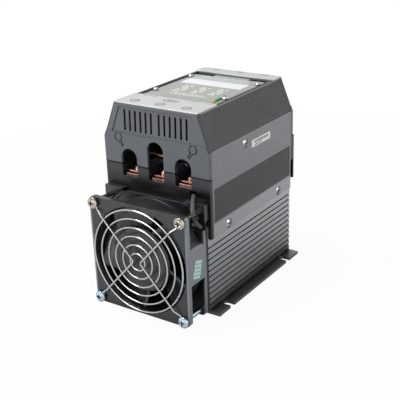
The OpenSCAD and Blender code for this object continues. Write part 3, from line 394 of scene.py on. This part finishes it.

# polycarbonate, moulded: grey, even grain, painted shade on slanted sides, inside and as a black seam at the
# foot
capFinish = {
    "color": "656A71", "patchColor": "60656B", "edgeColor": "4A4E53",
    "metallic": 0.0, "specular": 0.4, "roughness": (0.41, 0.53),
    "grainSize": 0.35, "stretch": (1, 1, 1), "grainDepth": 0.012, "patchSize": 22, "edgeSize": 0.7,
    "cavitySize": 1.0, "cavityRange": (0.3, 0.8), "cavityColor": "050607",
    "cornerSize": 25, "cornerRange": (0.2, 0.7), "heights": ((113.0, 113.3, "050506", None),),
    "ends": {"axis": "X", "lean": 0.3803, "begin": 98.9, "full": 99.4, "foot": 133, "color": "3C3F43"},
}

# polyester (PBT), moulded: glossy and near black, with black edges as painted shade along seams
glossFinish = {
    "color": "0B0C0D", "patchColor": "090A0B", "edgeColor": "050506",
    "metallic": 0.0, "specular": 0.45, "roughness": (0.21, 0.33),
    "grainSize": 0.3, "stretch": (1, 1, 1), "grainDepth": 0.006, "patchSize": 16, "edgeSize": 0.3,
    "cavitySize": 2, "cavityRange": (0.2, 0.7), "cavityColor": "040405",
}

# the same on the terminal bases, with painted light: a lighter grey towards the top
baseFinish = dict(glossFinish, heights=((98, 109, None, "34383E"),))

# glass laminate, lacquered: green, but the base's painted light grey covers it above 109 mm, where the board
# lies
boardFinish = dict(baseFinish, color="1D4A30", patchColor="1A442C", edgeColor="8C8A5C")

# epoxy, potted: matte black
moduleFinish = dict(glossFinish, color="0A0B0C", patchColor="08090A", edgeColor="161819",
                    specular=0.1, roughness=(0.55, 0.67))

# polyester (PBT), moulded: dark grey with a sheen, edges pale with painted highlight and wear, painted shade
# in its pockets
fanFinish = {
    "color": "202224", "patchColor": "1A1C1E", "edgeColor": "5E6164",
    "metallic": 0.0, "specular": 0.8, "roughness": (0.25, 0.37),
    "grainSize": 0.25, "stretch": (1, 1, 1), "grainDepth": 0.006, "patchSize": 12, "edgeSize": 0.3,
    "cavitySize": 10, "cavityRange": (0.45, 0.95), "cavityColor": "020203",
}

# the same on the fan frame, with painted light: its side faces pale
fanFrameFinish = dict(fanFinish, ends={"axis": "X", "lean": 0.0, "begin": 44.4, "full": 44.9, "foot": -1,
                                       "color": "868C92"})

# ABS, moulded: a little lighter than the frame
rotorFinish = dict(fanFinish, color="26282A", patchColor="222426", edgeColor="3E4042")

# polyester film, laminated: flat matte grey
panelFinish = {
    "color": "989A98", "patchColor": "949694", "edgeColor": "A8AAA8",
    "metallic": 0.0, "specular": 0.2, "roughness": (0.55, 0.67),
    "grainSize": 0.3, "stretch": (1, 1, 1), "grainDepth": 0.006, "patchSize": 20, "edgeSize": 0.2,
    "cavitySize": 0.8, "cavityRange": (0.3, 0.8), "cavityColor": "101112",
}

# aluminium sheet, brushed across: pale satin metal
plateFinish = {
    "color": "CCCBCC", "patchColor": "C7C6C7", "edgeColor": "E0E0E0",
    "metallic": 1.0, "specular": 0.5, "roughness": (0.35, 0.49),
    "grainSize": 0.4, "stretch": (60, 1, 1), "grainDepth": 0.006, "patchSize": 20, "edgeSize": 0.15,
    "cavitySize": 0.6, "cavityRange": (0.25, 0.85), "cavityColor": "5C5D5F",
}

# copper, drawn: pale pink with brown patches, edges bright with painted highlight, dark painted shade in
# grooves
copperFinish = {
    "color": "D6B4A8", "patchColor": "A8705E", "edgeColor": "FFF4F0",
    "metallic": 1.0, "specular": 0.5, "roughness": (0.12, 0.28),
    "grainSize": 0.25, "stretch": (1, 30, 1), "grainDepth": 0.01, "patchSize": 6, "edgeSize": 0.35,
    "cavitySize": 1.5, "cavityRange": (0.25, 0.85), "cavityColor": "1A0A06",
}

# copper wire, varnished and wound: brown and duller
coilFinish = dict(copperFinish, color="6A4A34", patchColor="5E402C", edgeColor="8C6A50",
                  roughness=(0.32, 0.48))

# steel, zinc-plated after pressing: bright grey with black painted shade in its recesses
zincFinish = {
    "color": "C2C4C8", "patchColor": "B4B7BC", "edgeColor": "E0E2E4",
    "metallic": 1.0, "specular": 0.5, "roughness": (0.18, 0.34),
    "grainSize": 0.3, "stretch": (1, 1, 1), "grainDepth": 0.006, "patchSize": 3, "edgeSize": 0.15,
    "cavitySize": 1.2, "cavityRange": (0.3, 0.85), "cavityColor": "141415",
}

# steel, headed and nickel-plated: warm and shiny with darker spots, bluish on the two lower screws
guardScrewFinish = dict(zincFinish, color="E2DCCF", patchColor="8C8476", edgeColor="FFFCF4", patchSize=1.8,
                        edgeSize=0.5, roughness=(0.07, 0.17), grainSize=1.6, grainDepth=0.05,
                        cavitySize=2.4, cavityRange=(0.6, 0.98), cavityColor="060606",
                        heights=((46, 47, "C4D8E4", None),))

# steel, headed and blackened: black, with white patches as a painted highlight and black painted shade
# around it
darkScrewFinish = dict(zincFinish, color="0C0D0E", patchColor="F0F2F4", edgeColor="8A8C8E", patchSize=1.8,
                       roughness=(0.06, 0.22),
                       cavitySize=3.4, cavityRange=(0.84, 1.0), cavityColor="020202")

# steel wire, drawn and chromed: bright, with grey painted shade where wires meet
wireFinish = {
    "color": "CFCFD0", "patchColor": "C2C3C5", "edgeColor": "E8E8E8",
    "metallic": 1.0, "specular": 0.5, "roughness": (0.11, 0.21),
    "grainSize": 0.4, "stretch": (1, 1, 1), "grainDepth": 0.004, "patchSize": 5, "edgeSize": 0.1,
    "cavitySize": 1.0, "cavityRange": (0.25, 0.85), "cavityColor": "707072",
}

# polyester yarn, braided: dark, with grey threads where the waves cross
sleeveFinish = {
    "color": "343739", "threadColor": "6A6E72", "roughness": 0.5,
    "pitch": 1.2, "waver": 0.4, "threadDepth": 0.12, "edgeSize": 0.1,
}

# epoxy, cast in a polished mould: shiny and a little cloudy
lampFinish = {"roughness": (0.18, 0.28), "clear": 0.15, "cloudSize": 0.8}

# ink, screen-printed: flat and matte
inkFinish = {"specular": 0.15, "roughness": (0.55, 0.7), "mottleSize": 0.5}

# vinyl film, calendered: flat with a faint sheen
vinylFinish = dict(inkFinish, roughness=(0.35, 0.5))

finishes = {
    "heatsink": madeSurface("anodised_aluminium_extruded", heatsinkFinish),
    "cover": madeSurface("anodised_aluminium_grooved", coverFinish),
    "cap": madeSurface("grey_polycarbonate_moulded", capFinish),
    "base": madeSurface("black_pbt_moulded", baseFinish),
    "fan": madeSurface("black_pbt_plate_moulded", fanFinish),
    "fan_frame": madeSurface("black_pbt_frame_moulded", fanFrameFinish),
    "rotor": madeSurface("dark_grey_abs_moulded", rotorFinish),
    "module": madeSurface("black_epoxy_potted", moduleFinish),
    "board": madeSurface("green_laminate_lacquered", boardFinish),
    "plate": madeSurface("aluminium_sheet_satin", plateFinish),
    "panel": madeSurface("grey_film_laminated", panelFinish),
    "copper": madeSurface("copper_bar_drawn", copperFinish),
    "zinc": madeSurface("zinc_plated_steel_pressed", zincFinish),
    "guard_screw": madeSurface("nickel_plated_steel_headed", guardScrewFinish),
    "dark_screw": madeSurface("blackened_steel_headed", darkScrewFinish),
    "wire": madeSurface("chromed_steel_wire", wireFinish),
    "coil": madeSurface("varnished_copper_wound", coilFinish),
    "sleeve": wovenSleeve("polyester_sleeve_braided", sleeveFinish),
    "yellow_lamp": castLamp("yellow_epoxy_cast", "D9D21E", "C8BE18", lampFinish),
    "green_lamp": castLamp("green_epoxy_cast", "1FA464", "178A52", lampFinish),
    "red_lamp": castLamp("red_epoxy_cast", "D01F2C", "B01824", lampFinish),
    "black_ink": flatColor("black_ink_screen_printed", "151617", "1D1E1F", inkFinish),
    "grey_ink": flatColor("grey_ink_screen_printed", "8E9092", "969899", inkFinish),
    "olive_ink": flatColor("olive_ink_screen_printed", "989B92", "9C9F96", inkFinish),
    "white_ink": flatColor("white_ink_screen_printed", "CDCFD2", "D3D5D7", inkFinish),
    "white_label": flatColor("white_vinyl_calendered", "FBFBFA", "FFFFFF", vinylFinish),
    "blue_label": flatColor("pale_blue_vinyl_calendered", "C6EAEC", "D2F2F4", vinylFinish),
}
print("stage: materials")

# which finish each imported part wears
wears = {
    "heatsink": "heatsink", "side_cover_left": "cover", "side_cover_right": "cover",
    "side_cover_screws": "dark_screw", "front_cover": "cap", "rear_cover": "cap",
    "front_terminal_base": "base", "rear_terminal_base": "base", "front_top_plate": "plate",
    "rear_top_plate": "plate", "control_panel": "panel", "panel_screws": "zinc", "panel_washers": "base",
    "led_yellow": "yellow_lamp", "led_green_front": "green_lamp", "led_green_rear": "green_lamp",
    "led_red": "red_lamp", "control_board": "board", "board_transformer": "coil", "board_standoffs": "zinc",
    "bracket_left": "zinc", "bracket_right": "zinc", "thyristor_module_1": "module",
    "thyristor_module_2": "module", "thyristor_module_3": "module", "line_bar_1": "copper",
    "line_bar_2": "copper", "line_bar_3": "copper", "load_bar_1": "copper", "load_bar_2": "copper",
    "load_bar_3": "copper", "line_bolts": "copper", "line_washers": "copper", "load_bolts": "copper",
    "load_washers": "copper", "module_screws": "zinc", "copper_strip": "copper", "thermal_switch": "module",
    "fan_plate": "fan", "fan_frame": "fan_frame", "fan_rotor": "rotor", "fan_rotor_ring": "zinc",
    "fan_shaft": "zinc", "fan_bearings": "zinc", "fan_stator": "coil", "finger_guard": "wire",
    "guard_screws": "guard_screw", "fan_lead": "sleeve", "lead_tie": "base",
}
for nodeName, obj in nodes.items():
    obj.data.materials.clear()
    obj.data.materials.append(finishes[wears[nodeName]])
print("stage: finishes on the packed parts")


# flat outlines in millimetres; lean moves the upper side of a box along
def box(u0, v0, u1, v1, lean=0.0):
    return [(u0, v0), (u1, v0), (u1 + lean, v1), (u0 + lean, v1)]


def oval(u, v, halfWide, halfHigh, count=32):
    turns = [2 * math.pi * i / count for i in range(count)]
    return [(u + halfWide * math.cos(t), v + halfHigh * math.sin(t)) for t in turns]


def roundBox(u0, v0, u1, v1, radius, count=6):
    left, right = u0 + radius, u1 - radius
    low, high = v0 + radius, v1 - radius
    corners = ((right, high, 0), (left, high, 90), (left, low, 180), (right, low, 270))
    steps = [90 * i / count for i in range(count + 1)]
    points = [(u, v, math.radians(start + step)) for u, v, start in corners for step in steps]
    return [(u + radius * math.cos(t), v + radius * math.sin(t)) for u, v, t in points]


# an outline turned by an angle in degrees about a point
def turned(outline, middle, angle):
    c, s = math.cos(math.radians(angle)), math.sin(math.radians(angle))
    steps = [(u - middle[0], v - middle[1]) for u, v in outline]
    return [(middle[0] + du * c - dv * s, middle[1] + du * s + dv * c) for du, dv in steps]


# the face that a flat piece lies on: from (u, v, height) to the row frame
faces = {
    "top": lambda u, v, w: (u, v, w),
    "right": lambda u, v, w: (w, u, v),
}


# thin flat piece on a face: solid outlines, and bands between an outer and an inner outline
def flatPiece(name, face, low, high, finish, solids=(), bands=()):
    bm = bmesh.new()
    at = faces[face]

    def ring(outline, height):
        return [bm.verts.new(Vector(at(u, v, height)) * mm) for u, v in outline]

    for outline in solids:
        bottom, top = ring(outline, low), ring(outline, high)
        bm.faces.new(top)
        bm.faces.new(bottom[::-1])
        for i in range(len(outline)):
            j = (i + 1) % len(outline)
            bm.faces.new((bottom[i], bottom[j], top[j], top[i]))
    for outer, inner in bands:
        loops = [ring(outer, low), ring(outer, high), ring(inner, high), ring(inner, low)]
        for a, b in zip(loops, loops[1:] + loops[:1]):
            for i in range(len(outer)):
                j = (i + 1) % len(outer)
                bm.faces.new((a[i], a[j], b[j], b[i]))
    bmesh.ops.recalc_face_normals(bm, faces=bm.faces)
    mesh = bpy.data.meshes.new(name)
    bm.to_mesh(mesh)
    bm.free()
    mesh.materials.append(finishes[finish])
    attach(link(bpy.data.objects.new(name, mesh)), "body")


# blocks that stand for a line of words, without any lettering: their lengths repeat along the row
def printRow(u0, u1, v, height, lengths, gap):
    blocks = []
    u = u0
    while u < u1:
        end = min(u + lengths[len(blocks) % len(lengths)], u1)
        blocks.append(box(u, v, end, v + height))
        u = end + gap
    return blocks


# slanted bars side by side, the first one starting at u plus the value of from
def slantedBars(u, v, s):
    starts = [u + s["from"] + i * s["step"] for i in range(s["count"])]
    return [box(start, v - s["half"], start + s["wide"], v + s["half"], s["lean"]) for start in starts]


# a part's outermost coordinate along an axis, in mm
def outermost(node, axis):
    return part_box(node)[1]["xyz".index(axis)] / mm


# label on the right side cover: white vinyl with a row of bars over a row of blocks
sideLabel = {
    "length": (-4.0, 25.4), "height": (120.3, 126.3), "thick": 0.08, "corner": 0.5, "ink": 0.01,
    "barRow": (0.0, 22.0, 122.9, 2.2),  # from, to, height above the ground, height of the bars
    "bars": (0.5, 0.3, 0.9, 0.3, 0.4, 0.7, 0.3, 1.1, 0.4, 0.3, 0.6, 0.9, 0.3, 0.5), "barGap": 0.45,
    "blockRow": (0.0, 13.0, 121.2, 0.8), "blocks": (1.6, 2.4, 1.1, 3.0), "blockGap": 0.7,
}


def makeSideLabel(s):
    face = outermost("side_cover_right", "x")
    top = face + s["thick"]
    outline = roundBox(s["length"][0], s["height"][0], s["length"][1], s["height"][1], s["corner"])
    bars = printRow(*s["barRow"], s["bars"], s["barGap"])
    blocks = printRow(*s["blockRow"], s["blocks"], s["blockGap"])
    flatPiece("side_label", "right", face, top, "white_label", [outline])
    flatPiece("side_label_print", "right", top, top + s["ink"], "black_ink", bars + blocks)


# label on the side of the fan frame: pale blue vinyl, stuck on a little crooked, with four short grey rows
fanLabel = {
    "length": (-84.2, -75.2), "height": (38.0, 52.4), "thick": 0.08, "corner": 0.6, "ink": 0.01,
    "turn": -15.0, "rows": (40.2, 43.2, 46.2, 49.2), "rowHeight": 0.8, "rowMargin": 1.2,
    "blocks": (2.2, 1.4, 1.8), "blockGap": 0.6,
}


def makeFanLabel(s):
    face = outermost("fan_frame", "x")
    top = face + s["thick"]
    u0, u1 = s["length"]
    v0, v1 = s["height"]
    outline = roundBox(u0, v0, u1, v1, s["corner"])
    middle = ((u0 + u1) / 2, (v0 + v1) / 2)
    left, right = u0 + s["rowMargin"], u1 - s["rowMargin"]
    rows = []
    for v in s["rows"]:
        rows += printRow(left, right, v, s["rowHeight"], s["blocks"], s["blockGap"])
    crooked = [turned(block, middle, s["turn"]) for block in rows]
    flatPiece("fan_label", "right", face, top, "blue_label", [turned(outline, middle, s["turn"])])
    flatPiece("fan_label_print", "right", top, top + s["ink"], "grey_ink", crooked)


# marks on the top plates: outlined ovals with slanted bars over the phases, one wide oval, and plain ovals
plateMarks = {
    "ink": 0.015, "line": 0.75, "phases": (-24.3, 0.0, 24.3),
    "frontY": -55.0, "frontHalf": (4.2, 3.4),
    "frontBars": {"from": -1.6, "step": 1.5, "wide": 0.5, "half": 1.3, "lean": 0.4, "count": 3},
    "emblem": (1.6, -43.7), "emblemHalf": (7.2, 3.0),
    "emblemBars": {"from": -3.2, "step": 1.9, "wide": 0.9, "half": 0.9, "lean": 0.5, "count": 4},
    "rearY": 61.2, "rearHalf": (4.2, 2.1),
}


def ovalBand(u, v, half, line):
    return oval(u, v, *half), oval(u, v, half[0] - line, half[1] - line)


def makePlateMarks(s):
    top = outermost("front_top_plate", "z")
    bands = [ovalBand(x, s["frontY"], s["frontHalf"], s["line"]) for x in s["phases"]]
    bands.append(ovalBand(*s["emblem"], s["emblemHalf"], s["line"]))
    bars = []
    for x in s["phases"]:
        bars += slantedBars(x, s["frontY"], s["frontBars"])
    bars += slantedBars(*s["emblem"], s["emblemBars"])
    rear = [oval(x, s["rearY"], *s["rearHalf"]) for x in s["phases"]]
    flatPiece("front_plate_print", "top", top, top + s["ink"], "black_ink", bars, bands)
    flatPiece("rear_plate_print", "top", top, top + s["ink"], "grey_ink", rear)


# print on the control panel: an olive field with columns of white words and two rows in front of them, a
# white block, and behind it light rows that shorten towards the rear with two finer grey rows among them
panelPrint = {
    "ink": 0.015, "olive": (-22.0, -20.5, 21.0, 14.4), "white": (-31.0, 15.0, 27.4, 30.6),
    "words": (3.2, 1.8, 4.4, 2.2, 2.8),
    "lightRows": (32.4, 35.4, 38.4, 41.4), "lightSpan": (-31, 26), "lightShorten": (1, -2),
    "lightHeight": 1.3, "lightGap": 0.9,
    "greyRows": (33.9, 39.9), "greySpan": (-24, 26), "greyHeight": 0.7, "greyGap": 1.4,
    "columns": ((-20.5, -12.0, 7), (-4.0, -10.5, 6), (12.0, -9.5, 6)),  # corner and number of words
    "word": {"step": (2.1, 3.4), "size": (1.5, 2.2), "lean": 0.6, "blocks": 4},
    "frontRows": ((-18, 16, -18.6, 1.4), (-15, 13, -15.8, 1.2)), "frontGaps": (1.0, 1.2),
}


# a column of words of slanted blocks, each without one of them: the last, then the one before, and so on
def wordColumn(u, v, count, w):
    blocks = []
    for i in range(count):
        for k in range(w["blocks"]):
            if (i + k) % w["blocks"] != w["blocks"] - 1:
                left, low = u + k * w["step"][0], v + i * w["step"][1]
                blocks.append(box(left, low, left + w["size"][0], low + w["size"][1], w["lean"]))
    return blocks


def makePanelPrint(s):
    top = outermost("control_panel", "z")
    fieldTop = top + s["ink"]
    light = [box(*s["white"])]
    for i, v in enumerate(s["lightRows"]):
        u0, u1 = (end + i * shorten for end, shorten in zip(s["lightSpan"], s["lightShorten"]))
        light += printRow(u0, u1, v, s["lightHeight"], s["words"], s["lightGap"])
    for u, v, count in s["columns"]:
        light += wordColumn(u, v, count, s["word"])
    for row, gap in zip(s["frontRows"], s["frontGaps"]):
        light += printRow(*row, s["words"], gap)
    grey = []
    for v in s["greyRows"]:
        grey += printRow(*s["greySpan"], v, s["greyHeight"], s["words"], s["greyGap"])
    flatPiece("panel_olive_field", "top", top, fieldTop, "olive_ink", [box(*s["olive"])])
    flatPiece("panel_white_print", "top", fieldTop, fieldTop + s["ink"], "white_ink", light)
    flatPiece("panel_dark_print", "top", fieldTop, fieldTop + s["ink"], "grey_ink", grey)


makeSideLabel(sideLabel)
makeFanLabel(fanLabel)
makePlateMarks(plateMarks)
makePanelPrint(panelPrint)
print("stage: labels and print")

scene.view_settings.view_transform = "Standard"
